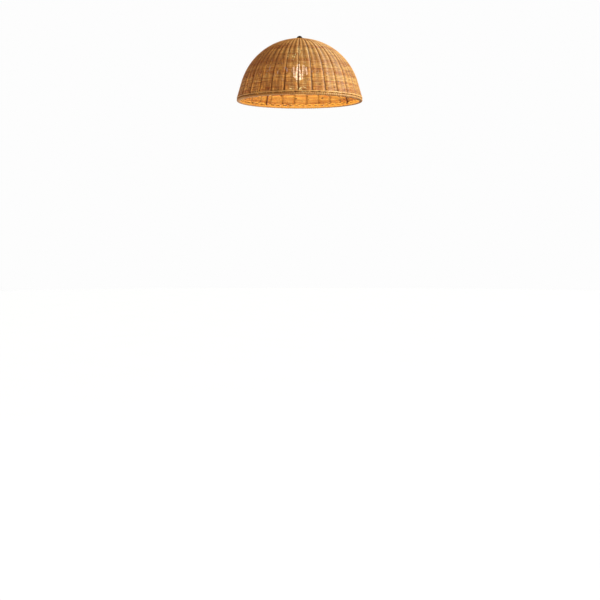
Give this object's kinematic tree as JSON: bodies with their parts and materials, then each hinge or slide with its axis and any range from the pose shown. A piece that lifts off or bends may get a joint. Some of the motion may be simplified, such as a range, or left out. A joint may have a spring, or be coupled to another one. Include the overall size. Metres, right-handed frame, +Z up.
{
  "type": "lamp shade",
  "caption": "Woven rattan dome lamp shade on a steel wire frame, open below, held on the lamp's stud by a screw-down finial over a cap disc.",
  "frame": {"origin": "centre of the plane that the rim stands on", "axes": "+Z up through the crown; the camera side of the weave is towards -Y"},
  "size_m": [0.38, 0.38, 0.1974],
  "materials": {
    "rattan_reed": "woven, lightly varnished honey-brown rattan reed",
    "rattan_stake": "round rattan rod, lightly varnished",
    "rattan_binding": "wrapped flat cane, lightly varnished",
    "frame_steel": "dark brown enamel on steel wire",
    "bronze": "dark oil-rubbed bronze"
  },
  "bodies": {
    "shade": {"crown_weave_outer": "rattan_reed", "shoulder_weave_outer": "rattan_reed", "skirt_weave_outer": "rattan_reed", "crown_weave_inner": "rattan_reed", "shoulder_weave_inner": "rattan_reed", "skirt_weave_inner": "rattan_reed", "stake_pair_01": "rattan_stake", "stake_pair_02": "rattan_stake", "stake_pair_03": "rattan_stake", "stake_pair_04": "rattan_stake", "stake_pair_05": "rattan_stake", "stake_pair_06": "rattan_stake", "stake_pair_07": "rattan_stake", "stake_pair_08": "rattan_stake", "stake_pair_09": "rattan_stake", "stake_pair_10": "rattan_stake", "stake_pair_11": "rattan_stake", "stake_pair_12": "rattan_stake", "stake_pair_13": "rattan_stake", "stake_pair_14": "rattan_stake", "stake_pair_15": "rattan_stake", "stake_pair_16": "rattan_stake", "stake_pair_17": "rattan_stake", "stake_pair_18": "rattan_stake", "stake_pair_19": "rattan_stake", "stake_pair_20": "rattan_stake", "stake_pair_21": "rattan_stake", "stake_pair_22": "rattan_stake", "stake_pair_23": "rattan_stake", "stake_pair_24": "rattan_stake", "stake_pair_25": "rattan_stake", "stake_pair_26": "rattan_stake", "stake_pair_27": "rattan_stake", "stake_pair_28": "rattan_stake", "stake_pair_29": "rattan_stake", "frame_rib_1": "frame_steel", "frame_rib_2": "frame_steel", "frame_rib_3": "frame_steel", "frame_rib_4": "frame_steel", "bottom_ring": "frame_steel", "crown_plate": "frame_steel", "rim_binding": "rattan_binding", "rim_wale": "rattan_reed"},
    "cap": {"cap_disc": "bronze"},
    "finial": {"finial": "bronze"}
  },
  "joints": [
    {"name": "cap_lift", "type": "slide", "parent": "shade", "child": "cap", "axis": [0, 0, 1], "range_m": [0, 0.0055]},
    {"name": "finial_turn", "type": "hinge", "parent": "cap", "child": "finial", "pos_m": [0, 0, 0.18842], "axis": [0, 0, 1], "range_deg": [0, 1800]}
  ],
  "couplings": [
    {"joint": "cap_lift", "follows": "finial_turn", "m_per_rad": 0.00015915}
  ]
}
